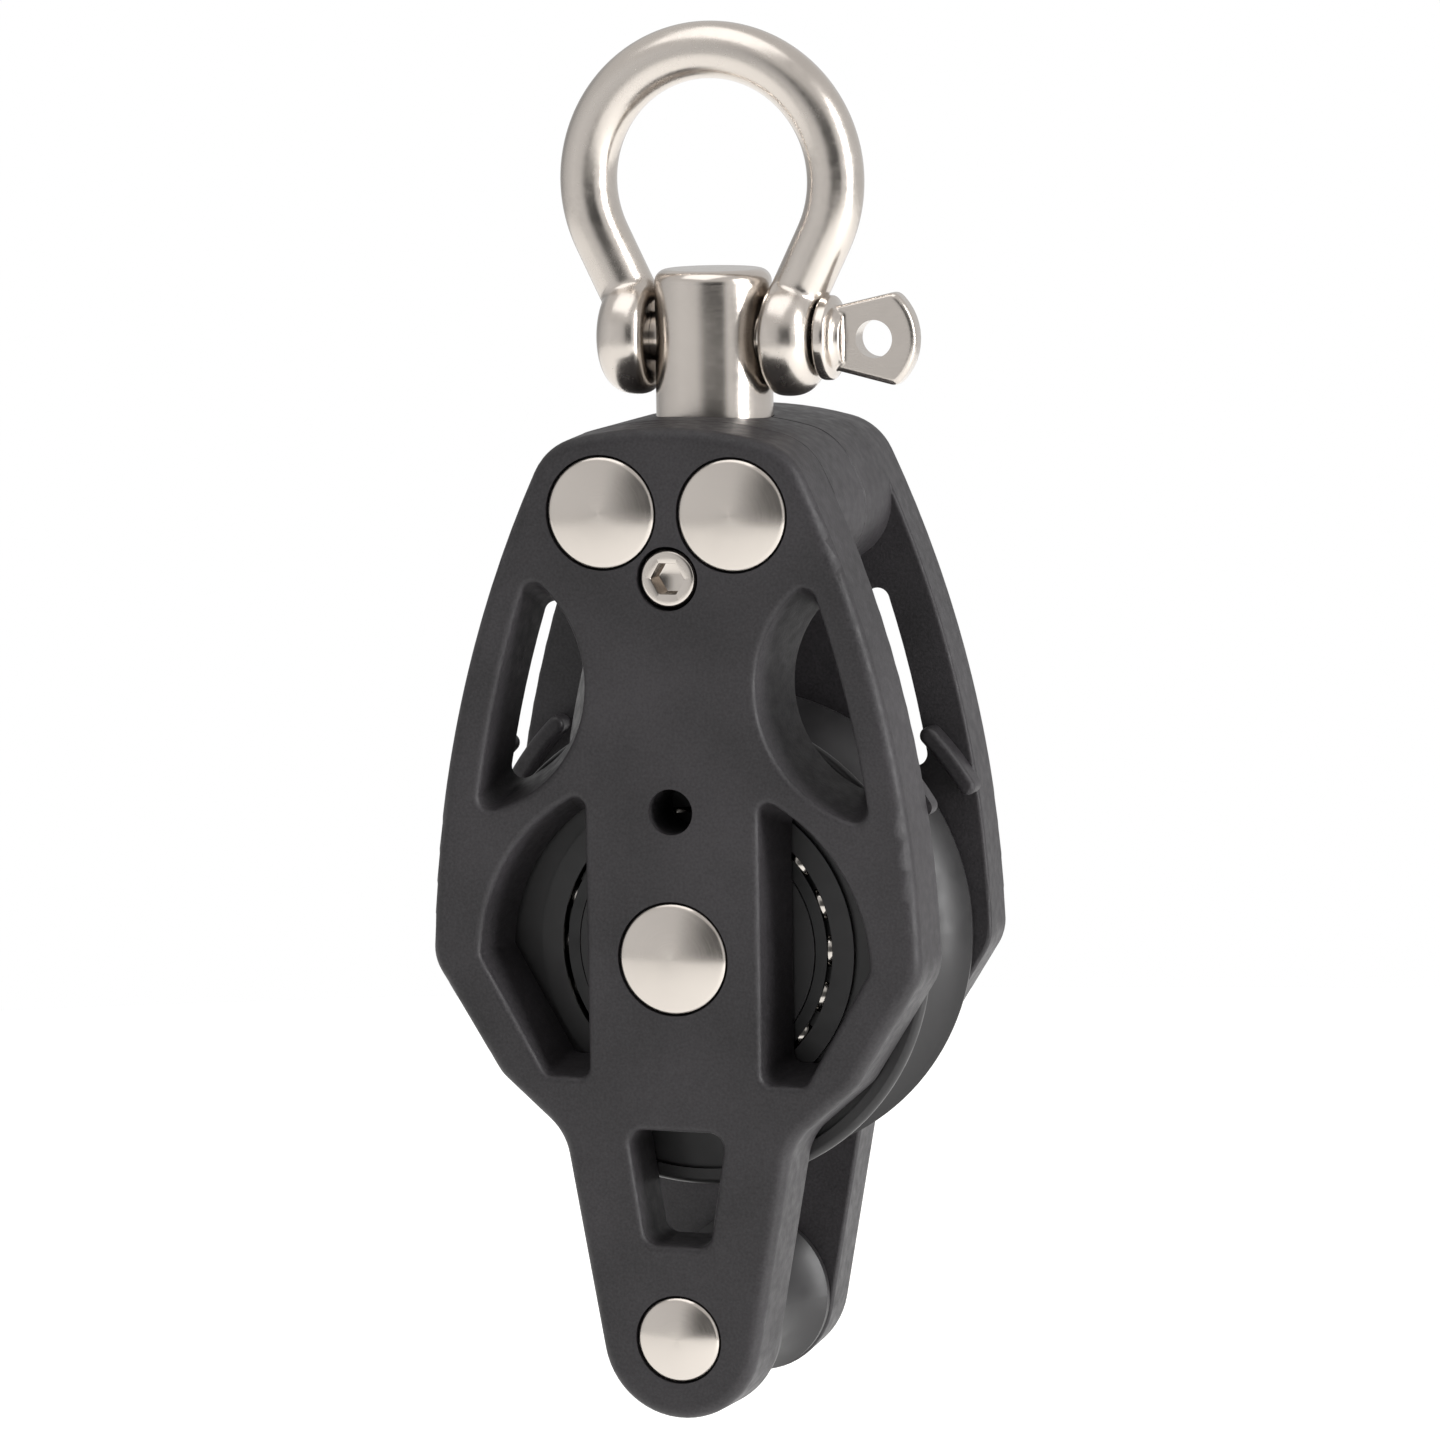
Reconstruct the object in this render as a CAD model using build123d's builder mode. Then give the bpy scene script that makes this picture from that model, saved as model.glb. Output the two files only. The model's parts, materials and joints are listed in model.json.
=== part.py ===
from build123d import *
import math
import os

# Single sheave block with a becket and a swivelling bow shackle.
# Frame: origin at the centre of the sheave, midway between the cheeks.
# +Y is the sheave's axis and points at the rear cheek, +Z points up at the shackle.
# All sizes are in millimetres.

# ---- overall layout ----------------------------------------------------------------------
overall_thickness = 38.4  # over the outer faces of both cheeks
cheek_wall = 8.75  # thickness of each cheek
axle_to_becket = 46.8  # sheave axle down to the becket rivet
axle_to_shackle_pin = 73.7  # sheave axle up to the shackle pin
running_clearance = 0.08  # radial, pins and posts that turn

# ---- cheek outline, at the inner face ----------------------------------------------------
arm_end_radius = 10.3  # round lower end of the becket arm
throat_half_width = 14.8  # where the arm meets the body
throat_height = -22.3
chin_half_width = 22.8  # lower bend of the body
chin_height = -15.3
widest_half_width = 31.4  # upper end of the chamfered flank
widest_height = -1.4
flank_radius = 145.0  # long curved side
shoulder_half_width = 15.7  # where the side meets the crown
shoulder_height = 62.0
crown_height = 64.5
throat_radius = 7.0
chin_radius = 6.0
widest_radius = 6.0
shoulder_radius = 8.0
side_draft = 2.5  # degrees, the sides narrow towards the outer face
outer_edge_radius = 1.6
inner_edge_radius = 0.5

# ---- windows, at the outer face ----------------------------------------------------------
upper_window_circle = 16.3  # radius of the inner edge
upper_window_centre = (27.0, 33.0)
upper_window_rim = 4.8  # rim left outside the window
upper_window_draft = 2.4  # how far the inner edge moves through the wall
upper_window_rim_draft = 0.9  # how far the rim thickens through the wall
upper_window_radius = 1.5
lower_window_inner = 10.9  # half the width of the strap between the lower windows
lower_window_bottom = -15.1
lower_window_arc = 23.1
lower_window_arc_centre = (2.0, -1.1)
lower_window_side = (24.9, -0.6)  # lower end of the arc
lower_window_foot = 16.6  # outer end of the bottom edge
lower_window_draft = 1.5
lower_window_radius = 1.3
arm_window_top = -21.2
arm_window_bottom = -35.3
arm_window_top_half = 6.3
arm_window_bottom_half = 4.1
arm_window_radius = 1.9
window_edge_radius = 0.8
lightening_hole_height = 17.9
lightening_hole_diameter = 5.6

# ---- head bridge between the cheeks ------------------------------------------------------
bridge_underside = 45.0
bridge_corner_radius = 8.0
stud_boss_half_width = 9.6
stud_boss_underside = 41.4
stud_boss_blend = 2.0
parting_groove = 0.25

# ---- rope guard ribs ---------------------------------------------------------------------
rib_radius = 34.3
rib_width = 2.2
rib_height = 3.0
rib_start_angle = 32.0
rib_end_angle = 45.0
rib_edge_radius = 0.7

# ---- rivets and sleeves ------------------------------------------------------------------
rivet_head_thickness = 1.6
rivet_head_sunk = 0.1
rivet_head_gap = 0.35  # radial gap round a head in its counterbore
rivet_hole_clearance = 0.05
rivet_head_edge = 0.3
head_rivet_spacing = 16.5
head_rivet_height = 53.9
head_rivet_head = 13.3
head_rivet_shank = 5.6
axle_head = 13.3
axle_shank = 8.0
axle_sleeve_wall = 1.0
becket_head = 10.2
becket_shank = 5.0
becket_sleeve_wall = 1.0

# ---- sheave and bearing ------------------------------------------------------------------
sheave_diameter = 58.8
sheave_width = 19.9
groove_root_diameter = 48.0
groove_lip = 1.1  # flat rim beside the rope groove
rim_edge_radius = 0.9
sheave_web_recess = 0.7
sheave_web_inner = 20.0
sheave_web_outer = 27.4
ball_pitch_radius = 16.3
ball_diameter = 4.6
ball_count = 18
ball_row_offset = 7.3  # each row of balls from the middle of the sheave
race_clearance = 0.12
slot_inner_radius = 15.0
slot_outer_radius = 17.3
cage_clearance = 0.2
cage_pocket_clearance = 0.06
cage_face_inset = 1.3  # cage fingers behind the sheave's side face
cage_web_thickness = 1.5
hub_boss_radius = 10.3

# ---- becket spool ------------------------------------------------------------------------
spool_flange_diameter = 20.0
spool_root_diameter = 13.0
spool_side_gap = 0.3
spool_lip = 1.0

# ---- swivel stud -------------------------------------------------------------------------
stud_diameter = 14.3
stud_top = 82.0
stud_tail_bottom = 43.6
stud_edge_radius = 1.6
stud_bore_clearance = 0.1
stud_neck_clearance = 0.2  # between the groove and the head rivets
stud_waist_depth = 0.9
stud_waist_radius = 11.0
lock_hole_count = 8
lock_hole_diameter = 4.3
lock_hole_depth = 1.6

# ---- lock screw --------------------------------------------------------------------------
lock_screw_height = 46.1
lock_screw_diameter = 4.0
lock_screw_head = 6.9
lock_screw_head_height = 3.8
lock_screw_head_edge = 0.4
lock_screw_counterbore = 7.8
lock_screw_sunk = 0.3
lock_screw_hex = 3.0
lock_screw_hex_depth = 2.0
lock_screw_backed_off = 0.4  # tip short of the stud
insert_diameter = 6.4
insert_length = 5.0

# ---- shackle -----------------------------------------------------------------------------
wire_diameter = 7.0
bow_radius = 15.8  # centreline
bow_centre_height = 92.7
ear_diameter = 13.3
ear_inner = 7.6
ear_outer = 14.6
ear_rim_radius = 3.0
leg_inset = 0.6  # foot of each leg, inward from the middle of its ear
leg_foot_rise = 3.3  # foot of each leg above the pin
pin_diameter = 6.0
pin_tip_inset = 0.4
pin_collar_diameter = 10.3
pin_collar_length = 2.7
spot_face_gap = 0.6  # radial, round the collar where the ear is spot-faced
wing_thickness = 3.0
wing_root_height = 8.0
wing_tip_height = 11.4
wing_corner = 23.2
wing_tip = 26.1
wing_eye = 20.5
wing_eye_diameter = 4.2
wing_root_overlap = 1.0  # wing sunk into the collar

# ---- worked out from the sizes above -----------------------------------------------------
half_gap = overall_thickness / 2 - cheek_wall
outer_face = overall_thickness / 2
front_inner = Plane.XZ.offset(half_gap)
front_outer = Plane.XZ.offset(outer_face)
side_taper = cheek_wall * math.tan(math.radians(side_draft))
stud_radius = stud_diameter / 2
stud_bore = stud_radius + stud_bore_clearance
stud_seat = stud_tail_bottom - stud_bore_clearance
neck_half_height = head_rivet_shank / 2 + stud_neck_clearance
neck_radius = head_rivet_spacing / 2 - head_rivet_shank / 2 - stud_neck_clearance
becket_height = -axle_to_becket
race_radius = ball_diameter / 2 + race_clearance

os.makedirs("parts", exist_ok=True)


def save(part, label):
    """Label a finished piece and write it to its own file."""
    part.label = label
    export_step(part, f"parts/{label}.step")


def arm_corner():
    """Point where the straight side of the arm touches its round end."""
    rise = throat_height + axle_to_becket
    reach = math.hypot(throat_half_width, rise)
    tangent = math.asin(arm_end_radius / reach)
    lean = math.atan2(throat_half_width, rise) - tangent
    return (arm_end_radius * math.cos(lean), becket_height - arm_end_radius * math.sin(lean))


def cheek_outline():
    """Closed outline of a cheek in its own plane, at the inner face."""
    with BuildSketch() as outline:
        with BuildLine():
            Line((0, becket_height - arm_end_radius), (0, crown_height))
            arc_end = arm_corner()
            arc_middle = arm_end_radius * math.sqrt(0.5)
            ThreePointArc(
                (0, becket_height - arm_end_radius),
                (arc_middle, becket_height - arc_middle),
                arc_end,
            )
            Polyline(
                arc_end,
                (throat_half_width, throat_height),
                (chin_half_width, chin_height),
                (widest_half_width, widest_height),
            )
            RadiusArc(
                (widest_half_width, widest_height),
                (shoulder_half_width, shoulder_height),
                -flank_radius,
            )
            crown_rise = crown_height - shoulder_height
            crown_radius = (shoulder_half_width**2 + crown_rise**2) / (2 * crown_rise)
            RadiusArc((shoulder_half_width, shoulder_height), (0, crown_height), -crown_radius)
        make_face()
        mirror(about=Plane.YZ)
        for height, radius in (
            (throat_height, throat_radius),
            (chin_height, chin_radius),
            (widest_height, widest_radius),
            (shoulder_height, shoulder_radius),
        ):
            fillet(outline.vertices().filter_by_position(Axis.Y, height - 0.01, height + 0.01), radius)
    return outline.sketch


def upper_window(depth):
    """Right upper window at a depth of 0 (outer face) to 1 (inner face)."""
    rim_radius = flank_radius - upper_window_rim - side_taper - depth * upper_window_rim_draft
    flank_x = widest_half_width - flank_radius
    with BuildSketch() as window:
        with Locations(upper_window_centre):
            Circle(upper_window_circle - depth * upper_window_draft)
        with Locations((flank_x, widest_height)):
            Circle(rim_radius, mode=Mode.INTERSECT)
        fillet(window.vertices(), upper_window_radius)
    return window.sketch


def lower_window(depth):
    """Right lower window at a depth of 0 (outer face) to 1 (inner face)."""
    centre_x, centre_z = lower_window_arc_centre
    top = centre_z + math.sqrt(lower_window_arc**2 - (lower_window_inner - centre_x) ** 2)
    with BuildSketch() as window:
        with BuildLine():
            Polyline(
                lower_window_side,
                (lower_window_foot, lower_window_bottom),
                (lower_window_inner, lower_window_bottom),
                (lower_window_inner, top),
            )
            RadiusArc((lower_window_inner, top), lower_window_side, lower_window_arc)
        make_face()
        if depth:
            offset(amount=-depth * lower_window_draft, kind=Kind.INTERSECTION)
        fillet(window.vertices(), lower_window_radius)
    return window.sketch


def window_cutter(window):
    """Solid through the front cheek wall, drafted between its two outlines."""
    with BuildPart() as cutter:
        with BuildSketch(front_outer):
            add(window(0))
        with BuildSketch(front_inner):
            add(window(1))
        loft()
    return cutter.part


def arm_window():
    """Tapered window in the becket arm."""
    with BuildSketch() as window:
        with BuildLine():
            Polyline(
                (-arm_window_top_half, arm_window_top),
                (arm_window_top_half, arm_window_top),
                (arm_window_bottom_half, arm_window_bottom),
                (-arm_window_bottom_half, arm_window_bottom),
                close=True,
            )
        make_face()
        fillet(window.vertices(), arm_window_radius)
    return window.sketch


def bridge_profile():
    """Half of the head that joins the cheeks above the rope."""
    with BuildSketch() as profile:
        add(cheek_outline())
        with Locations((0, bridge_underside)):
            Rectangle(2 * widest_half_width, crown_height, align=(Align.CENTER, Align.MIN), mode=Mode.INTERSECT)
        fillet(profile.vertices().group_by(Axis.Y)[0], bridge_corner_radius)
        boss_height = bridge_underside - stud_boss_underside + stud_boss_blend
        with Locations((0, stud_boss_underside)):
            Rectangle(2 * stud_boss_half_width, boss_height, align=(Align.CENTER, Align.MIN))
        fillet(profile.vertices().group_by(Axis.Y)[0], stud_boss_blend)
    return profile.sketch


def rope_guard():
    """Right rope guard rib, standing out of the front cheek's inner face."""
    with BuildPart() as rib:
        with BuildSketch(front_inner):
            with BuildLine() as spine:
                CenterArc((0, 0), rib_radius, rib_start_angle, rib_end_angle - rib_start_angle)
            SlotArc(spine.wire(), rib_width)
        extrude(amount=-rib_height)
        fillet(rib.faces().sort_by(Axis.Y)[-1].edges(), rib_edge_radius)
    return rib.part


def cheek_blank():
    """Front cheek with every feature that both cheeks share."""
    upper = window_cutter(upper_window)
    lower = window_cutter(lower_window)
    guard = rope_guard()
    rivets = (
        (-head_rivet_spacing / 2, head_rivet_height, head_rivet_head, head_rivet_shank),
        (head_rivet_spacing / 2, head_rivet_height, head_rivet_head, head_rivet_shank),
        (0, 0, axle_head, axle_shank),
        (0, becket_height, becket_head, becket_shank),
    )
    with BuildPart() as blank:
        with BuildSketch(front_inner):
            add(cheek_outline())
        extrude(amount=cheek_wall, taper=side_draft)
        for cutter in (upper, lower):
            add(cutter, mode=Mode.SUBTRACT)
            add(mirror(cutter, about=Plane.YZ), mode=Mode.SUBTRACT)
        with BuildSketch(front_inner):
            add(arm_window())
        extrude(amount=cheek_wall, mode=Mode.SUBTRACT)
        rim = blank.faces().sort_by(Axis.Y)[0]
        fillet(rim.outer_wire().edges(), outer_edge_radius)
        rim = blank.faces().sort_by(Axis.Y)[0]
        fillet([edge for wire in rim.inner_wires() for edge in wire.edges()], window_edge_radius)
        fillet(blank.faces().sort_by(Axis.Y)[-1].outer_wire().edges(), inner_edge_radius)
        with BuildSketch(Plane.XZ):
            add(bridge_profile())
        extrude(amount=half_gap + inner_edge_radius)
        parting = blank.faces().sort_by(Axis.Y)[-1].outer_wire().edges()
        chamfer(parting, parting_groove)
        add(guard)
        add(mirror(guard, about=Plane.YZ))
        with Locations(front_outer):
            for x, height, head, shank in rivets:
                with Locations((x, height)):
                    CounterBoreHole(
                        shank / 2 + rivet_hole_clearance,
                        head / 2 + rivet_head_gap,
                        rivet_head_thickness + rivet_head_sunk,
                    )
            with Locations((0, lightening_hole_height)):
                Hole(lightening_hole_diameter / 2, depth=cheek_wall)
        with Locations((0, 0, stud_seat)):
            Cylinder(
                stud_bore,
                crown_height,
                align=(Align.CENTER, Align.CENTER, Align.MIN),
                mode=Mode.SUBTRACT,
            )
    return blank.part


blank_cheek = cheek_blank()

# ---- front cheek: also carries the lock screw --------------------------------------------
with BuildPart() as front_cheek:
    add(blank_cheek)
    with Locations(front_outer):
        with Locations((0, lock_screw_height)):
            CounterBoreHole(
                lock_screw_diameter / 2 + running_clearance,
                lock_screw_counterbore / 2,
                lock_screw_head_height + lock_screw_sunk,
                depth=outer_face,
            )
    insert_depth = stud_bore + insert_length + lock_screw_backed_off
    with BuildSketch(Plane.XZ):
        with Locations((0, lock_screw_height)):
            Circle(insert_diameter / 2)
    extrude(amount=insert_depth, mode=Mode.SUBTRACT)
save(front_cheek.part, "front_cheek")

# ---- rear cheek --------------------------------------------------------------------------
with BuildPart() as rear_cheek:
    add(mirror(blank_cheek, about=Plane.XZ))
save(rear_cheek.part, "rear_cheek")


# ---- rivets: a shank with a flat head at each end ----------------------------------------
def rivet(x, height, head, shank):
    """Rivet along Y with both heads formed."""
    head_face = outer_face - rivet_head_sunk
    with BuildPart() as piece:
        with Locations(Location((x, 0, height), (90, 0, 0))):
            Cylinder(shank / 2, 2 * head_face)
        for side in (-1, 1):
            middle = side * (head_face - rivet_head_thickness / 2)
            with Locations(Location((x, middle, height), (90, 0, 0))):
                Cylinder(head / 2, rivet_head_thickness)
        ends = piece.faces().filter_by(Axis.Y).sort_by(Axis.Y)
        chamfer(ends[0].edges() + ends[-1].edges(), rivet_head_edge)
    return piece.part


for label, x in (("head_rivet_left", -head_rivet_spacing / 2), ("head_rivet_right", head_rivet_spacing / 2)):
    save(rivet(x, head_rivet_height, head_rivet_head, head_rivet_shank), label)
save(rivet(0, 0, axle_head, axle_shank), "axle_rivet")
save(rivet(0, becket_height, becket_head, becket_shank), "becket_rivet")


# ---- sleeves that keep the rivets from squeezing the cheeks together ---------------------
def sleeve(height, shank, wall):
    """Tube on a rivet, from one cheek to the other."""
    inner = shank / 2 + rivet_hole_clearance
    with BuildPart() as tube:
        with BuildSketch(Plane.XZ.offset(-half_gap)):
            with Locations((0, height)):
                Circle(inner + wall)
                Circle(inner, mode=Mode.SUBTRACT)
        extrude(amount=2 * half_gap)
    return tube.part


save(sleeve(0, axle_shank, axle_sleeve_wall), "axle_sleeve")
save(sleeve(becket_height, becket_shank, becket_sleeve_wall), "becket_sleeve")

# ---- bearing hub: the fixed inner race ---------------------------------------------------
sleeve_outer = axle_shank / 2 + rivet_hole_clearance + axle_sleeve_wall
with BuildPart() as bearing_hub:
    with BuildSketch(Plane.XY):
        with Locations((0, 0)):
            Rectangle(slot_inner_radius, sheave_width, align=(Align.MIN, Align.CENTER))
            Rectangle(hub_boss_radius, 2 * half_gap, align=(Align.MIN, Align.CENTER))
            Rectangle(sleeve_outer, 2 * half_gap, align=(Align.MIN, Align.CENTER), mode=Mode.SUBTRACT)
        with Locations((ball_pitch_radius, -ball_row_offset), (ball_pitch_radius, ball_row_offset)):
            Circle(race_radius, mode=Mode.SUBTRACT)
    revolve(axis=Axis.Y)
save(bearing_hub.part, "bearing_hub")

# ---- sheave: rope groove outside, outer race inside --------------------------------------
rim_radius = sheave_diameter / 2
groove_half = sheave_width / 2 - groove_lip
groove_depth = (sheave_diameter - groove_root_diameter) / 2
groove_radius = (groove_half**2 + groove_depth**2) / (2 * groove_depth)
with BuildPart() as sheave:
    with BuildSketch(Plane.XY) as section:
        with Locations((slot_outer_radius, 0)):
            Rectangle(rim_radius - slot_outer_radius, sheave_width, align=(Align.MIN, Align.CENTER))
        corners = section.vertices().group_by(Axis.X)[-1]
        fillet(corners, rim_edge_radius)
        with Locations((groove_root_diameter / 2 + groove_radius, 0)):
            Circle(groove_radius, mode=Mode.SUBTRACT)
        with Locations((ball_pitch_radius, -ball_row_offset), (ball_pitch_radius, ball_row_offset)):
            Circle(race_radius, mode=Mode.SUBTRACT)
        web_middle = (sheave_web_inner + sheave_web_outer) / 2
        with Locations((web_middle, sheave_width / 2), (web_middle, -sheave_width / 2)):
            Rectangle(sheave_web_outer - sheave_web_inner, 2 * sheave_web_recess, mode=Mode.SUBTRACT)
    revolve(axis=Axis.Y)
save(sheave.part, "sheave")


# ---- ball sets: a crown cage and its balls, one on each side -----------------------------
def ball_places(side):
    """Planes at the centres of one row of balls, each facing away from the axle."""
    step = 2 * math.pi / ball_count
    places = []
    for i in range(ball_count):
        outward = Vector(math.cos(step * i), 0, math.sin(step * i))
        centre = outward * ball_pitch_radius + Vector(0, side * ball_row_offset, 0)
        places.append(Plane(centre, z_dir=outward))
    return places


def ball_cage(side):
    """Crown cage: a ring with an open pocket for each ball."""
    fingers = sheave_width / 2 - cage_face_inset
    web = ball_row_offset - ball_diameter / 2 - cage_pocket_clearance - cage_web_thickness
    with BuildPart() as cage:
        with BuildSketch(Plane.XZ.offset(-side * web)):
            Circle(slot_outer_radius - cage_clearance)
            Circle(slot_inner_radius + cage_clearance, mode=Mode.SUBTRACT)
        extrude(amount=-side * (fingers - web))
        with Locations(*ball_places(side)):
            Cylinder(ball_diameter / 2 + cage_pocket_clearance, ball_diameter, mode=Mode.SUBTRACT)
    return cage.part


def ball_row(side):
    """One row of loose balls."""
    with BuildPart() as balls:
        with Locations(*ball_places(side)):
            Sphere(ball_diameter / 2)
    return balls.part


for side, name in ((-1, "front"), (1, "rear")):
    save(ball_cage(side), f"ball_cage_{name}")
    save(ball_row(side), f"side_balls_{name}")

# ---- becket spool ------------------------------------------------------------------------
spool_half = half_gap - spool_side_gap
spool_depth = (spool_flange_diameter - spool_root_diameter) / 2
spool_groove_half = spool_half - spool_lip
spool_groove_radius = (spool_groove_half**2 + spool_depth**2) / (2 * spool_depth)
spool_bore = becket_shank / 2 + rivet_hole_clearance + becket_sleeve_wall + running_clearance
becket_plane = Plane((0, 0, becket_height))
with BuildPart() as becket_spool:
    with BuildSketch(becket_plane):
        with Locations((spool_bore, 0)):
            Rectangle(
                spool_flange_diameter / 2 - spool_bore,
                2 * spool_half,
                align=(Align.MIN, Align.CENTER),
            )
        with Locations((spool_root_diameter / 2 + spool_groove_radius, 0)):
            Circle(spool_groove_radius, mode=Mode.SUBTRACT)
    revolve(axis=Axis((0, 0, becket_height), (0, 1, 0)))
save(becket_spool.part, "becket_spool")

# ---- swivel stud: post, groove for the head rivets, and tail with lock holes -------------
with BuildPart() as swivel_stud:
    with BuildSketch(Plane.XZ):
        with Locations((0, stud_tail_bottom)):
            Rectangle(stud_radius, stud_top - stud_tail_bottom, align=(Align.MIN, Align.MIN))
        with Locations((neck_radius, head_rivet_height)):
            Rectangle(
                stud_radius,
                2 * neck_half_height,
                align=(Align.MIN, Align.CENTER),
                mode=Mode.SUBTRACT,
            )
    revolve(axis=Axis.Z)
    fillet(swivel_stud.faces().sort_by(Axis.Z)[-1].edges(), stud_edge_radius)
    waist_centre = stud_radius - stud_waist_depth + stud_waist_radius
    with BuildSketch(Plane.XZ):
        with Locations((waist_centre, axle_to_shackle_pin), (-waist_centre, axle_to_shackle_pin)):
            Circle(stud_waist_radius)
    extrude(amount=stud_diameter, both=True, mode=Mode.SUBTRACT)
    with Locations(Location((0, 0, axle_to_shackle_pin), (0, 90, 0))):
        Hole(pin_diameter / 2 + running_clearance, depth=stud_diameter)
    for turn in range(lock_hole_count):
        around = Plane.XY.rotated((0, 0, 360 / lock_hole_count * turn))
        with BuildSketch(Plane((0, 0, lock_screw_height), around.y_dir, -around.x_dir).offset(-stud_diameter)):
            Circle(lock_hole_diameter / 2)
        extrude(amount=stud_diameter - stud_radius + lock_hole_depth, mode=Mode.SUBTRACT)
save(swivel_stud.part, "swivel_stud")

# ---- lock screw and its insert -----------------------------------------------------------
screw_head_face = outer_face - lock_screw_sunk
screw_tip = stud_bore + lock_screw_backed_off
with BuildPart() as lock_screw:
    with BuildSketch(Plane.XZ.offset(screw_tip)):
        with Locations((0, lock_screw_height)):
            Circle(lock_screw_diameter / 2)
    extrude(amount=screw_head_face - screw_tip)
    with BuildSketch(Plane.XZ.offset(screw_head_face - lock_screw_head_height)):
        with Locations((0, lock_screw_height)):
            Circle(lock_screw_head / 2)
    extrude(amount=lock_screw_head_height)
    chamfer(lock_screw.faces().sort_by(Axis.Y)[0].edges(), lock_screw_head_edge)
    with BuildSketch(Plane.XZ.offset(screw_head_face)):
        with Locations((0, lock_screw_height)):
            RegularPolygon(lock_screw_hex / 2, 6, major_radius=False)
    extrude(amount=-lock_screw_hex_depth, mode=Mode.SUBTRACT)
save(lock_screw.part, "lock_screw")

with BuildPart() as lock_screw_insert:
    with BuildSketch(Plane.XZ.offset(screw_tip)):
        with Locations((0, lock_screw_height)):
            Circle(insert_diameter / 2)
            Circle(lock_screw_diameter / 2, mode=Mode.SUBTRACT)
    extrude(amount=insert_length)
save(lock_screw_insert.part, "lock_screw_insert")

# ---- shackle bow -------------------------------------------------------------------------
ear_middle = (ear_inner + ear_outer) / 2
pin_axis = Axis((0, 0, axle_to_shackle_pin), (1, 0, 0))
leg_end = (ear_middle - leg_inset, axle_to_shackle_pin + leg_foot_rise)
leg_reach = math.hypot(leg_end[0], bow_centre_height - leg_end[1])
leg_angle = math.acos(bow_radius / leg_reach) - math.atan2(bow_centre_height - leg_end[1], leg_end[0])
leg_start = (bow_radius * math.cos(leg_angle), bow_centre_height + bow_radius * math.sin(leg_angle))
with BuildPart() as shackle_bow:
    with BuildLine(Plane.XZ) as bow_path:
        Line(leg_end, leg_start)
        ThreePointArc(leg_start, (0, bow_centre_height + bow_radius), (-leg_start[0], leg_start[1]))
        Line((-leg_start[0], leg_start[1]), (-leg_end[0], leg_end[1]))
    with BuildSketch(Plane(bow_path.line @ 0, z_dir=bow_path.line % 0)):
        Circle(wire_diameter / 2)
    sweep()
    with BuildSketch(Plane.XZ) as ear:
        for side in (-1, 1):
            with Locations((side * ear_middle, axle_to_shackle_pin)):
                Rectangle(ear_outer - ear_inner, ear_diameter / 2, align=(Align.CENTER, Align.MIN))
        fillet(ear.vertices().group_by(Axis.Y)[-1], ear_rim_radius)
    revolve(axis=pin_axis)
    with Locations((0, 0, axle_to_shackle_pin)):
        Box(2 * ear_inner, ear_diameter, 2 * ear_diameter, mode=Mode.SUBTRACT)
    with Locations(Location((0, 0, axle_to_shackle_pin), (0, 90, 0))):
        Hole(pin_diameter / 2 + running_clearance, depth=2 * ear_outer)
    with BuildSketch(Plane.YZ.offset(ear_outer)):
        with Locations((0, axle_to_shackle_pin)):
            Circle(pin_collar_diameter / 2 + spot_face_gap)
    extrude(amount=pin_collar_length, mode=Mode.SUBTRACT)
save(shackle_bow.part, "shackle_bow")

# ---- shackle pin with its wing -----------------------------------------------------------
collar_end = ear_outer + pin_collar_length
with BuildPart() as shackle_pin:
    with BuildSketch(Plane.XZ):
        with Locations((-ear_outer + pin_tip_inset, axle_to_shackle_pin)):
            Rectangle(2 * ear_outer - pin_tip_inset, pin_diameter / 2, align=(Align.MIN, Align.MIN))
        with BuildLine():
            Polyline(
                (ear_outer, axle_to_shackle_pin),
                (ear_outer, axle_to_shackle_pin + pin_collar_diameter / 2),
                (ear_outer + pin_collar_length / 2, axle_to_shackle_pin + pin_collar_diameter / 2),
                (collar_end, axle_to_shackle_pin + wing_root_height / 2),
                (collar_end, axle_to_shackle_pin),
                close=True,
            )
        make_face()
    revolve(axis=pin_axis)
    with BuildSketch(Plane.XZ.offset(-wing_thickness / 2)):
        with BuildLine():
            Polyline(
                (wing_corner, axle_to_shackle_pin + wing_tip_height / 2),
                (collar_end - wing_root_overlap, axle_to_shackle_pin + wing_root_height / 2),
                (collar_end - wing_root_overlap, axle_to_shackle_pin - wing_root_height / 2),
                (wing_corner, axle_to_shackle_pin - wing_tip_height / 2),
            )
            ThreePointArc(
                (wing_corner, axle_to_shackle_pin - wing_tip_height / 2),
                (wing_tip, axle_to_shackle_pin),
                (wing_corner, axle_to_shackle_pin + wing_tip_height / 2),
            )
        make_face()
        with Locations((wing_eye, axle_to_shackle_pin)):
            Circle(wing_eye_diameter / 2, mode=Mode.SUBTRACT)
    extrude(amount=wing_thickness)
save(shackle_pin.part, "shackle_pin")
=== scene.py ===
"""Looks of a sheave block with a becket and a swivelling bow shackle.

The frame is in metres: the sheave's centre is the origin, +Y runs along its axle to the rear
cheek and +Z up to the shackle. Sizes come from the frame where it has them.
"""

import json
import math

import bpy
from bpy.props import FloatProperty, PointerProperty, StringProperty
from mathutils import Matrix, Vector


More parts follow.
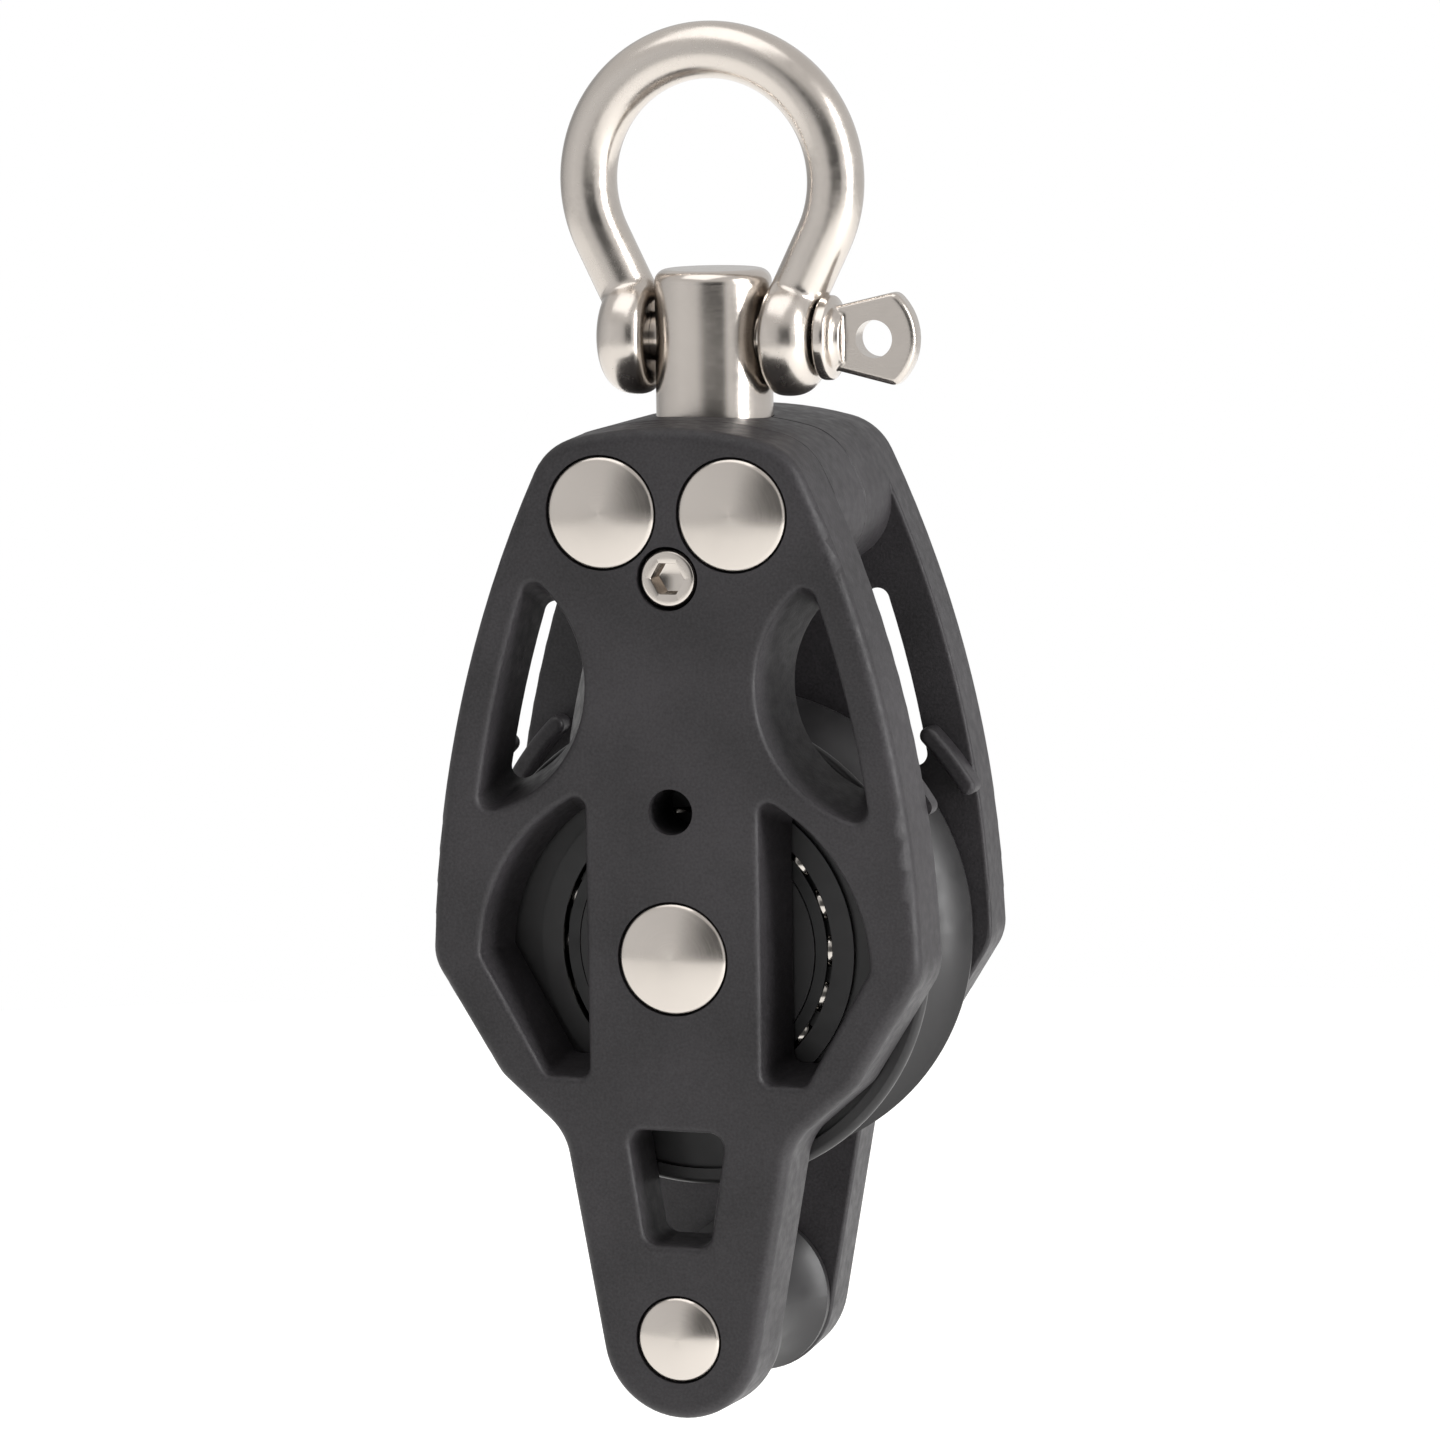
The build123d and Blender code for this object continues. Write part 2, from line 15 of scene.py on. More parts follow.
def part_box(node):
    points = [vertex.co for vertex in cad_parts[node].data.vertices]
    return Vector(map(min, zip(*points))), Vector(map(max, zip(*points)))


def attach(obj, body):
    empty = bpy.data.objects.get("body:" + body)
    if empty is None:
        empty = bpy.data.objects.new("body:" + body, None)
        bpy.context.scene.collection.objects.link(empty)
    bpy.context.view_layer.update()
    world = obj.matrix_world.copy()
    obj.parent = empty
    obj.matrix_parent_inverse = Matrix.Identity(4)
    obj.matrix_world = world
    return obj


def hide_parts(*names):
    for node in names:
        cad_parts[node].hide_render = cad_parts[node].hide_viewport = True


bl_info = {
    "name": "Sheave block looks",
    "version": (1, 0, 0),
    "blender": (4, 5, 0),
    "location": "3D View > Sidebar > Block",
    "description": "Builds the visible pieces, finishes and studio of a becket sheave block",
    "category": "Object",
}

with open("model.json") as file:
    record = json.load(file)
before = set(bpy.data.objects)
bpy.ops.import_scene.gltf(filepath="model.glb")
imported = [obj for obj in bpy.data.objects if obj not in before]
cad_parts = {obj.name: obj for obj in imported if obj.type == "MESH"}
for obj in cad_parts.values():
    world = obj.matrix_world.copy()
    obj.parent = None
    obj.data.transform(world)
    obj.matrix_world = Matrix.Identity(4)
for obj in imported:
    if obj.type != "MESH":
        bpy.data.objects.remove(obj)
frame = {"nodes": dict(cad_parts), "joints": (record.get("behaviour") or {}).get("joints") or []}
NODES = frame["nodes"]
JOINTS = {joint["name"]: joint for joint in frame["joints"]}
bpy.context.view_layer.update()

MM = 0.001
PIN_HEIGHT = JOINTS["shackle_swing"]["pos_m"][2]
BECKET_HEIGHT = JOINTS["becket_spin"]["pos_m"][2]
FRONT_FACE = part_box("front_cheek")[0][1]
RIVETS = ("head_rivet_left", "head_rivet_right", "axle_rivet", "becket_rivet")
EAR_OUTER = 13.7 * MM  # the middle to the shackle ear's outer face, where the pin's collar seats


# ---- finishes ----------------------------------------------------------------------------


def srgb(code):
    """Linear colour, with alpha, of an sRGB hex code such as "#3c3b3d"."""
    values = [int(code[i : i + 2], 16) / 255 for i in (1, 3, 5)]
    return (*(v / 12.92 if v <= 0.04045 else ((v + 0.055) / 1.055) ** 2.4 for v in values), 1.0)


def shaded(colour, factor):
    """The colour made darker or lighter."""
    return (*(factor * c for c in colour[:3]), 1.0)


def add_node(tree, kind, sockets=None, **settings):
    """Add a node; a socket given as (node, output) is linked, any other is set."""
    node = tree.nodes.new(kind)
    for name, value in settings.items():
        setattr(node, name, value)
    for name, value in (sockets or {}).items():
        if isinstance(value, tuple) and isinstance(value[0], bpy.types.Node):
            tree.links.new(value[0].outputs[value[1]], node.inputs[name])
        else:
            node.inputs[name].default_value = value
    return node


def start_material(name, **shader):
    """New node material: its tree, shader and object coordinates."""
    material = bpy.data.materials.new(name)
    material.use_nodes = True
    tree = material.node_tree
    tree.nodes.clear()
    bsdf = add_node(tree, "ShaderNodeBsdfPrincipled", {k.replace("_", " "): v for k, v in shader.items()})
    add_node(tree, "ShaderNodeOutputMaterial", {"Surface": (bsdf, "BSDF")})
    coords = add_node(tree, "ShaderNodeTexCoord")
    return material, tree, bsdf, coords


def per_metre(size_mm):
    """Texture scale whose pattern repeats about every size_mm millimetres."""
    return 1 / (size_mm * MM)


def moulded_nylon(name, colour):
    """Glass-filled nylon, injection moulded: a satin skin, fibre flecks and faint flow marks."""
    material, tree, bsdf, coords = start_material(name, IOR=1.53, Specular_IOR_Level=0.3)
    place = (coords, "Object")
    # glass fibres 0.35 mm apart, the tool's spark-eroded skin at 1.4 mm, flow marks at 16 mm
    flecks, texture, flow = (
        add_node(tree, "ShaderNodeTexNoise", {"Vector": place, "Scale": per_metre(size), "Detail": detail})
        for size, detail in ((0.35, 3.0), (1.4, 4.0), (16, 2.0))
    )
    tone = add_node(tree, "ShaderNodeMath", {0: (flecks, "Fac"), 1: (flow, "Fac")}, operation="ADD")
    light = add_node(
        tree,
        "ShaderNodeMapRange",
        {"Value": (tone, "Value"), "From Min": 0.7, "From Max": 1.3, "To Min": 0.0, "To Max": 1.0},
    )
    skin = add_node(
        tree,
        "ShaderNodeMixRGB",
        {"Fac": (light, "Result"), "Color1": shaded(colour, 0.6), "Color2": shaded(colour, 1.5)},
    )
    tree.links.new(skin.outputs["Color"], bsdf.inputs["Base Color"])
    rough = add_node(
        tree,
        "ShaderNodeMapRange",
        {"Value": (texture, "Fac"), "From Min": 0.3, "From Max": 0.7, "To Min": 0.44, "To Max": 0.6},
    )
    tree.links.new(rough.outputs["Result"], bsdf.inputs["Roughness"])
    # a faint witness ring round the becket rivet, left by an insert in the tool
    ring_radius, ring_half_width = 7.7 * MM, 0.12 * MM
    from_becket = add_node(
        tree,
        "ShaderNodeVectorMath",
        {0: place, 1: (0.0, 0.0, BECKET_HEIGHT)},
        operation="SUBTRACT",
    )
    across = add_node(
        tree,
        "ShaderNodeVectorMath",
        {0: (from_becket, "Vector"), 1: (1.0, 0.0, 1.0)},
        operation="MULTIPLY",
    )
    reach = add_node(tree, "ShaderNodeVectorMath", {0: (across, "Vector")}, operation="LENGTH")
    ring = add_node(
        tree,
        "ShaderNodeMath",
        {0: (reach, "Value"), 1: ring_radius, 2: ring_half_width},
        operation="COMPARE",
    )
    height = add_node(
        tree,
        "ShaderNodeMath",
        {0: (ring, "Value"), 1: -1.0, 2: (flecks, "Fac")},
        operation="MULTIPLY_ADD",
    )
    bump = add_node(
        tree,
        "ShaderNodeBump",
        {"Height": (height, "Value"), "Strength": 0.5, "Distance": 0.06 * MM},
    )
    tree.links.new(bump.outputs["Normal"], bsdf.inputs["Normal"])
    return material


def turned_acetal(name, colour, axis_height):
    """Acetal, turned: smooth and slightly waxy, with faint rings from the tool."""
    material, tree, bsdf, coords = start_material(name, IOR=1.48, Specular_IOR_Level=0.4)
    from_axis = add_node(
        tree,
        "ShaderNodeVectorMath",
        {0: (coords, "Object"), 1: (0.0, 0.0, axis_height)},
        operation="SUBTRACT",
    )
    # the tool's feed is finer than this; the rings are drawn about 3 mm apart so that they show
    ring_scale = per_metre(0.5) / 20
    rings = add_node(
        tree,
        "ShaderNodeTexWave",
        {"Vector": (from_axis, "Vector"), "Scale": ring_scale, "Distortion": 0.4, "Detail": 2.0},
        wave_type="RINGS",
        rings_direction="Y",
    )
    scuffs = add_node(
        tree,
        "ShaderNodeTexNoise",
        {"Vector": (from_axis, "Vector"), "Scale": per_metre(3), "Detail": 5.0},
    )
    skin = add_node(
        tree,
        "ShaderNodeMixRGB",
        {"Fac": (scuffs, "Fac"), "Color1": shaded(colour, 0.8), "Color2": shaded(colour, 1.25)},
    )
    tree.links.new(skin.outputs["Color"], bsdf.inputs["Base Color"])
    rough = add_node(
        tree,
        "ShaderNodeMapRange",
        {"Value": (scuffs, "Fac"), "From Min": 0.3, "From Max": 0.7, "To Min": 0.34, "To Max": 0.48},
    )
    tree.links.new(rough.outputs["Result"], bsdf.inputs["Roughness"])
    bump = add_node(
        tree,
        "ShaderNodeBump",
        {"Height": (rings, "Fac"), "Strength": 0.12, "Distance": 0.02 * MM},
    )
    tree.links.new(bump.outputs["Normal"], bsdf.inputs["Normal"])
    return material


def satin_stainless(name, colour, roughness, brushing):
    """Stainless steel, tumbled or brushed along an axis: soft warm-grey sheen, fine scratches."""
    material, tree, bsdf, coords = start_material(name, Metallic=1.0)
    finer_across = 12.0
    stretch = [finer_across if any(brushing) and not part else 1.0 for part in brushing]
    along = add_node(tree, "ShaderNodeMapping", {"Vector": (coords, "Object"), "Scale": stretch})
    # grit marks 1.2 mm long, and 0.1 mm apart across the brushing
    scratches = add_node(
        tree,
        "ShaderNodeTexNoise",
        {"Vector": (along, "Vector"), "Scale": per_metre(1.2), "Detail": 5.0, "Roughness": 0.65},
    )
    hazes = add_node(
        tree,
        "ShaderNodeTexNoise",
        {"Vector": (coords, "Object"), "Scale": per_metre(7), "Detail": 3.0},
    )
    mixed = add_node(tree, "ShaderNodeMath", {0: (scratches, "Fac"), 1: (hazes, "Fac")}, operation="ADD")
    rough = add_node(
        tree,
        "ShaderNodeMapRange",
        {
            "Value": (mixed, "Value"),
            "From Min": 0.7,
            "From Max": 1.3,
            "To Min": roughness - 0.05,
            "To Max": roughness + 0.07,
        },
    )
    tree.links.new(rough.outputs["Result"], bsdf.inputs["Roughness"])
    skin = add_node(
        tree,
        "ShaderNodeMixRGB",
        {"Fac": (mixed, "Value"), "Color1": shaded(colour, 0.86), "Color2": colour},
    )
    tree.links.new(skin.outputs["Color"], bsdf.inputs["Base Color"])
    bump = add_node(
        tree,
        "ShaderNodeBump",
        {"Height": (scratches, "Fac"), "Strength": 0.12, "Distance": 0.02 * MM},
    )
    tree.links.new(bump.outputs["Normal"], bsdf.inputs["Normal"])
    return material


def faced_stainless(name, colour, centre):
    """Stainless steel, faced on a lathe: rings round its centre spread the light into a fan."""
    material, tree, bsdf, coords = start_material(name, Metallic=1.0, Anisotropic=0.7)
    from_centre = add_node(
        tree,
        "ShaderNodeVectorMath",
        {0: (coords, "Object"), 1: tuple(centre)},
        operation="SUBTRACT",
    )
    radial = add_node(
        tree,
        "ShaderNodeVectorMath",
        {0: (from_centre, "Vector"), 1: (1.0, 0.0, 1.0)},
        operation="MULTIPLY",
    )
    tree.links.new(radial.outputs["Vector"], bsdf.inputs["Tangent"])
    reach = add_node(tree, "ShaderNodeVectorMath", {0: (radial, "Vector")}, operation="LENGTH")
    # tool marks about 0.15 mm apart
    rings = add_node(
        tree,
        "ShaderNodeTexNoise",
        {"W": (reach, "Value"), "Scale": per_metre(0.15), "Detail": 2.0},
        noise_dimensions="1D",
    )
    marks = add_node(
        tree,
        "ShaderNodeTexNoise",
        {"Vector": (coords, "Object"), "Scale": per_metre(2.5), "Detail": 4.0},
    )
    mixed = add_node(tree, "ShaderNodeMath", {0: (rings, "Fac"), 1: (marks, "Fac")}, operation="ADD")
    rough = add_node(
        tree,
        "ShaderNodeMapRange",
        {"Value": (mixed, "Value"), "From Min": 0.7, "From Max": 1.3, "To Min": 0.17, "To Max": 0.24},
    )
    tree.links.new(rough.outputs["Result"], bsdf.inputs["Roughness"])
    skin = add_node(
        tree,
        "ShaderNodeMixRGB",
        {"Fac": (rings, "Fac"), "Color1": shaded(colour, 0.94), "Color2": colour},
    )
    tree.links.new(skin.outputs["Color"], bsdf.inputs["Base Color"])
    bump = add_node(
        tree,
        "ShaderNodeBump",
        {"Height": (rings, "Fac"), "Strength": 0.05, "Distance": 0.004 * MM},
    )
    tree.links.new(bump.outputs["Normal"], bsdf.inputs["Normal"])
    return material


def dress(node, material):
    """Give a CAD node its finish."""
    mesh = NODES[node].data
    mesh.materials.clear()
    mesh.materials.append(material)


# ---- modelling helpers -------------------------------------------------------------------


def arc(centre, radius, start, end, steps):
    """Points on an arc in a plane, angles in degrees, both ends included."""
    turns = [math.radians(start + (end - start) * i / steps) for i in range(steps + 1)]
    return [(centre[0] + radius * math.cos(t), centre[1] + radius * math.sin(t)) for t in turns]


def draw_chain(name, points):
    """New piece holding one chain of edges through points, left in edit mode and selected."""
    bpy.ops.object.select_all(action="DESELECT")
    bpy.ops.mesh.primitive_plane_add(size=MM, location=points[0])
    bpy.ops.object.transform_apply(location=True, rotation=True, scale=True)
    piece = bpy.context.object
    piece.name = name
    bpy.ops.object.mode_set(mode="EDIT")
    bpy.ops.mesh.select_all(action="SELECT")
    bpy.ops.mesh.merge(type="CENTER")
    for here, there in zip(points, points[1:]):
        step = Vector(there) - Vector(here)
        bpy.ops.mesh.extrude_region_move(TRANSFORM_OT_translate={"value": step})
    return piece


def close_up(smooth_angle=40):
    """Merge doubles, point the faces outwards, leave edit mode and shade smooth."""
    bpy.ops.mesh.select_all(action="SELECT")
    bpy.ops.mesh.remove_doubles(threshold=0.002 * MM)
    bpy.ops.mesh.normals_make_consistent(inside=False)
    bpy.ops.object.mode_set(mode="OBJECT")
    bpy.ops.object.shade_smooth_by_angle(angle=math.radians(smooth_angle))


def select_only(piece):
    """Select one piece and make it active."""
    bpy.ops.object.select_all(action="DESELECT")
    piece.select_set(True)
    bpy.context.view_layer.objects.active = piece


def smooth(piece, angle):
    """Shade a piece smooth up to an angle in degrees."""
    select_only(piece)
    bpy.ops.object.shade_smooth_by_angle(angle=math.radians(angle))


def turn_piece(name, profile, axis, height, steps=128):
    """Turned piece about a horizontal axis; the profile gives (along, radius) points."""
    along = Vector(axis)
    start = Vector((0, 0, height))
    points = [start + along * a + Vector((0, 0, r)) for a, r in profile]
    piece = draw_chain(name, points)
    bpy.ops.mesh.select_all(action="SELECT")
    bpy.ops.mesh.spin(steps=steps, angle=2 * math.pi, center=start, axis=along)
    close_up()
    return piece


def use_modifier(piece, kind, **settings):
    """Add a modifier to a piece and apply it."""
    modifier = piece.modifiers.new(kind.title(), kind)
    for name, value in settings.items():
        setattr(modifier, name, value)
    bpy.context.view_layer.objects.active = piece
    bpy.ops.object.modifier_apply(modifier=modifier.name)


def bore(piece, radius, depth, centre, rotation, sides=64):
    """Cut a hole, round or with a few flat sides, and remove the cutter."""
    bpy.ops.mesh.primitive_cylinder_add(
        vertices=sides, radius=radius, depth=depth, location=centre, rotation=rotation
    )
    cutter = bpy.context.object
    use_modifier(piece, "BOOLEAN", object=cutter, operation="DIFFERENCE", solver="EXACT")
    bpy.data.objects.remove(cutter, do_unlink=True)


def join_into(name, *parts):
    """Join parts into the first one."""
    bpy.ops.object.select_all(action="DESELECT")
    for part in parts:
        part.select_set(True)
    bpy.context.view_layer.objects.active = parts[0]
    bpy.ops.object.join()
    parts[0].name = name
    return parts[0]


def finish_piece(piece, material, body, slot, *replaced):
    """Give a piece its finish and body, and let it stand for its CAD nodes; the slot is not used."""
    if not piece.data.polygons:
        raise RuntimeError(f"{piece.name} has no faces")
    piece.data.materials.clear()
    piece.data.materials.append(material)
    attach(piece, body)
    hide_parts(*replaced)


# ---- settings ----------------------------------------------------------------------------


class BlockFinishSettings(bpy.types.PropertyGroup):
    """Colours and gloss of the block's materials."""

    nylon: StringProperty(
        name="Nylon", description="sRGB hex colour of the cheeks", default="#272527"
    )
    acetal: StringProperty(
        name="Acetal", description="sRGB hex colour of the sheave and spool", default="#222122"
    )
    steel: StringProperty(
        name="Steel", description="sRGB hex colour of the stainless steel", default="#c3bcb5"
    )
    shackle_roughness: FloatProperty(
        name="Shackle roughness",
        description="Gloss of the tumbled steel",
        default=0.23,
        min=0,
        max=1,
        subtype="FACTOR",
    )


class BlockRivetSettings(bpy.types.PropertyGroup):
    """Sizes of the rivet heads."""

    dome: FloatProperty(
        name="Dome", description="Rise of the head's middle over its rim", default=0.95 * MM, unit="LENGTH"
    )
    rim: FloatProperty(
        name="Rim radius", description="Rounding of the head's rim", default=0.25 * MM, unit="LENGTH"
    )
    sunk: FloatProperty(
        name="Sunk", description="Rim of the head below the cheek's face", default=0.12 * MM, unit="LENGTH"
    )


class BlockShackleSettings(bpy.types.PropertyGroup):
    """Sizes of the bow shackle."""

    wire: FloatProperty(name="Wire", description="Diameter of the bow's bar", default=7 * MM, unit="LENGTH")
    bow: FloatProperty(
        name="Bow radius", description="Radius of the bow at its centreline", default=15.8 * MM, unit="LENGTH"
    )
    ear_inner: FloatProperty(
        name="Ear inside", description="Middle to the ear's inner face", default=7.35 * MM, unit="LENGTH"
    )
    ear_radius: FloatProperty(
        name="Ear radius", description="Radius of the ear round the pin", default=7.15 * MM, unit="LENGTH"
    )
    pin: FloatProperty(name="Pin", description="Diameter of the pin", default=6 * MM, unit="LENGTH")
    eye: FloatProperty(
        name="Eye", description="Diameter of the hole in the pin's wing", default=4.6 * MM, unit="LENGTH"
    )


class BlockStudioSettings(bpy.types.PropertyGroup):
    """Camera and light."""

    azimuth: FloatProperty(
        name="Azimuth",
        description="Camera to the right of straight ahead",
        default=math.radians(18.542),
        subtype="ANGLE",
    )
    elevation: FloatProperty(
        name="Elevation", description="Camera above the horizon", default=math.radians(7.55), subtype="ANGLE"
    )
    roll: FloatProperty(
        name="Roll", description="Camera's turn about its view", default=math.radians(-0.857), subtype="ANGLE"
    )
    distance: FloatProperty(
        name="Distance", description="Camera to its aim", default=834.3 * MM, unit="LENGTH"
    )
    side_light: FloatProperty(
        name="Side light", description="Power of the softbox on the right", default=24.0, unit="POWER"
    )
    top_light: FloatProperty(
        name="Top light", description="Power of the softbox above", default=6.0, unit="POWER"
    )


# ---- operators ---------------------------------------------------------------------------


class BLOCK_OT_cheeks(bpy.types.Operator):
    """Finish the moulded cheeks"""

    bl_idname = "block.cheeks"
    bl_label = "Cheeks"

    def execute(self, context):
        nylon = moulded_nylon("Glass-filled nylon moulded", srgb(context.scene.block_finish.nylon))
        dress("front_cheek", nylon)
        dress("rear_cheek", nylon)
        return {"FINISHED"}


class BLOCK_OT_sheave(bpy.types.Operator):
    """Finish the sheave, its hub and the becket spool"""

    bl_idname = "block.sheave"
    bl_label = "Sheave and spool"

    def execute(self, context):
        colour = srgb(context.scene.block_finish.acetal)
        acetal = turned_acetal("Acetal turned", colour, 0.0)
        dress("sheave", acetal)
        dress("bearing_hub", acetal)
        dress("becket_spool", turned_acetal("Acetal turned spool", colour, BECKET_HEIGHT))
        return {"FINISHED"}


class BLOCK_OT_bearing(bpy.types.Operator):
    """Finish the balls, their cages and the sleeves"""

    bl_idname = "block.bearing"
    bl_label = "Bearing"

    def execute(self, context):
        steel = srgb(context.scene.block_finish.steel)
        balls = satin_stainless("Stainless steel balls polished", srgb("#b9b4ae"), 0.12, (0, 0, 0))
        cages = turned_acetal("Acetal cage moulded", srgb("#111112"), 0.0)
        sleeves = satin_stainless("Stainless steel tube drawn", steel, 0.3, (0, 1, 0))
        for side in ("front", "rear"):
            dress(f"side_balls_{side}", balls)
            dress(f"ball_cage_{side}", cages)
        for place in ("axle", "becket"):
            dress(f"{place}_sleeve", sleeves)
        # a lip on each cage hides all but the outer side of its balls
        inside_balls, lip_width = 2.0 * MM, 1.45 * MM
        gap, lip_face = 0.05 * MM, 0.3 * MM
        for side, toward in (("front", -1), ("rear", 1)):
            low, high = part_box(f"side_balls_{side}")
            outer = (high[0] - low[0]) / 2 - inside_balls
            inner = outer - lip_width
            ball_face = low[1] if toward < 0 else high[1]
            back, face = ball_face + toward * gap, ball_face + toward * lip_face
            profile = [(back, inner), (face, inner), (face, outer), (back, outer), (back, inner)]
            lip = turn_piece(f"cage_lip_{side}", profile, (0, 1, 0), 0, steps=96)
            finish_piece(lip, cages, f"ball_set_{side}", "cage")
        return {"FINISHED"}


class BLOCK_OT_rivets(bpy.types.Operator):
    """Model the four rivets with their domed, faced heads"""

    bl_idname = "block.rivets"
    bl_label = "Rivets"

    def execute(self, context):
        sizes = context.scene.block_rivets
        steel = srgb(context.scene.block_finish.steel)
        head_growth, head_thickness, shank_share = 0.1 * MM, 1.3 * MM, 0.42
        for node in RIVETS:
            low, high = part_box(node)
            centre = (low + high) / 2
            radius = (high[0] - low[0]) / 2 + head_growth
            rim_face = FRONT_FACE + sizes.sunk
            sphere = (radius**2 + sizes.dome**2) / (2 * sizes.dome)
            lean = math.degrees(math.asin(radius / sphere))
            dome_middle = rim_face - sizes.dome + sphere
            dome = arc((dome_middle, 0), sphere, 180, 180 - lean * (1 - sizes.rim / radius), 20)
            rim = arc((rim_face + sizes.rim, radius - sizes.rim), sizes.rim, 180 - lean, 90, 5)
            shank = shank_share * radius
            under = rim_face + head_thickness
            front = [*dome, *rim, (under, radius), (under, shank)]
            rear = [(-along, r) for along, r in reversed(front)]
            piece = turn_piece(f"{node}_faced", front + rear, (0, 1, 0), centre[2])
            select_only(piece)
            piece.location.x = centre[0]
            bpy.ops.object.transform_apply(location=True, rotation=False, scale=False)
            finish = faced_stainless(f"Stainless steel faced {node}", steel, centre)
            finish_piece(piece, finish, "block", "rivet", node)
        return {"FINISHED"}


class BLOCK_OT_lock_screw(bpy.types.Operator):
    """Model the socket screw that locks the swivel, and finish its insert"""

    bl_idname = "block.lock_screw"
    bl_label = "Lock screw"

    def execute(self, context):
        steel = srgb(context.scene.block_finish.steel)
        low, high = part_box("lock_screw")
        centre = (low + high) / 2
        head_growth, shank, edge = 0.08 * MM, 2 * MM, 0.55 * MM
        half_across_flats, socket_depth = 1.85 * MM, 3.2 * MM
        radius = (high[0] - low[0]) / 2 + head_growth
        head_end = low[1] + 3.8 * MM
        corner = arc((low[1] + edge, radius - edge), edge, 180, 90, 6)
        profile = [(low[1] - 0.05 * MM, 0), (low[1] - 0.04 * MM, 0.5 * radius)]
        profile += [*corner, (head_end, radius), (head_end, shank), (high[1], shank), (high[1], 0)]
        piece = turn_piece("lock_screw_turned", profile, (0, 1, 0), centre[2], steps=96)
        bore(
            piece,
            half_across_flats / math.cos(math.pi / 6),
            2 * socket_depth,
            (0, low[1], centre[2]),
            (math.pi / 2, math.pi / 6, 0),
            sides=6,
        )
        use_modifier(piece, "BEVEL", width=0.12 * MM, segments=2, limit_method="ANGLE", angle_limit=0.6)
        smooth(piece, 40)
        finish = satin_stainless("Stainless steel screw", steel, 0.16, (0, 0, 0))
        finish_piece(piece, finish, "block", "screw", "lock_screw")
        brass = satin_stainless("Brass turned", srgb("#b89a5a"), 0.3, (0, 1, 0))
        dress("lock_screw_insert", brass)
        return {"FINISHED"}


class BLOCK_OT_swivel(bpy.types.Operator):
    """Finish the swivel stud"""

    bl_idname = "block.swivel"
    bl_label = "Swivel stud"

    def execute(self, context):
        finish = context.scene.block_finish
        dress("swivel_stud", satin_stainless("Stainless steel stud", srgb(finish.steel), 0.2, (1, 1, 0)))
        return {"FINISHED"}


class BLOCK_OT_shackle_bow(bpy.types.Operator):
    """Model the forged bow: a bent bar that runs into two round ears"""

    bl_idname = "block.shackle_bow"
    bl_label = "Shackle bow"

    def execute(self, context):
        sizes = context.scene.block_shackle
        bar = sizes.wire / 2
        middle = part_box("shackle_bow")[1][2] - bar - sizes.bow
        # each leg ends inside its ear, a little above the pin
        foot = ((sizes.ear_inner + EAR_OUTER) / 2 - 0.6 * MM, PIN_HEIGHT + 3.3 * MM)
        drop = middle - foot[1]
        lean = math.acos(sizes.bow / math.hypot(foot[0], drop)) - math.atan2(drop, foot[0])
        # half of the bow: a ring at the crown, spun down to where the leg goes straight
        bpy.ops.object.select_all(action="DESELECT")
        crown = Vector((0, 0, middle + sizes.bow))
        bpy.ops.mesh.primitive_circle_add(
            vertices=48, radius=bar, location=crown, rotation=(0, math.pi / 2, 0)
        )
        bpy.ops.object.transform_apply(location=True, rotation=True, scale=True)
        bow = bpy.context.object
        bpy.ops.object.mode_set(mode="EDIT")
        bpy.ops.mesh.select_all(action="SELECT")
        bpy.ops.mesh.spin(
            steps=48, angle=math.pi / 2 - lean, center=(0, 0, middle), axis=(0, 1, 0)
        )
        bpy.ops.object.mode_set(mode="OBJECT")
        ring = [v.co for v in bow.data.vertices if v.select]
        side = 1 if sum(co.x for co in ring) > 0 else -1
        bpy.ops.object.mode_set(mode="EDIT")
        leg = (
            side * (foot[0] - sizes.bow * math.cos(lean)),
            0,
            foot[1] - middle - sizes.bow * math.sin(lean),
        )
        bpy.ops.mesh.extrude_region_move(TRANSFORM_OT_translate={"value": leg})
        bpy.ops.mesh.edge_face_add()
        close_up()
        # the ear: a thick washer with a domed rim
        rise = sizes.ear_radius
        outer_edge, inner_edge = 3.5 * MM, 1.8 * MM
        outer = arc((EAR_OUTER - outer_edge, rise - outer_edge), outer_edge, 0, 90, 12)
        inner = arc((sizes.ear_inner + inner_edge, rise - inner_edge), inner_edge, 90, 180, 8)
        profile = [(EAR_OUTER, 0), *outer, *inner, (sizes.ear_inner, 0)]
        ear = turn_piece("ear", profile, (side, 0, 0), PIN_HEIGHT, steps=64)
        bow = join_into("shackle_bow_forged", bow, ear)
        use_modifier(bow, "MIRROR", use_axis=(True, False, False), merge_threshold=0.01 * MM)
        use_modifier(bow, "REMESH", mode="VOXEL", voxel_size=0.26 * MM, use_smooth_shade=True)
        use_modifier(bow, "SMOOTH", factor=0.5, iterations=24)
        clearance = 0.1 * MM
        bore(bow, sizes.pin / 2 + clearance, 40 * MM, (0, 0, PIN_HEIGHT), (0, math.pi / 2, 0))
        smooth(bow, 50)
        finish = context.scene.block_finish
        steel, gloss = srgb(finish.steel), finish.shackle_roughness
        forged = satin_stainless("Stainless steel forged", steel, gloss, (0, 0, 0))
        finish_piece(bow, forged, "shackle", "shackle", "shackle_bow")
        return {"FINISHED"}


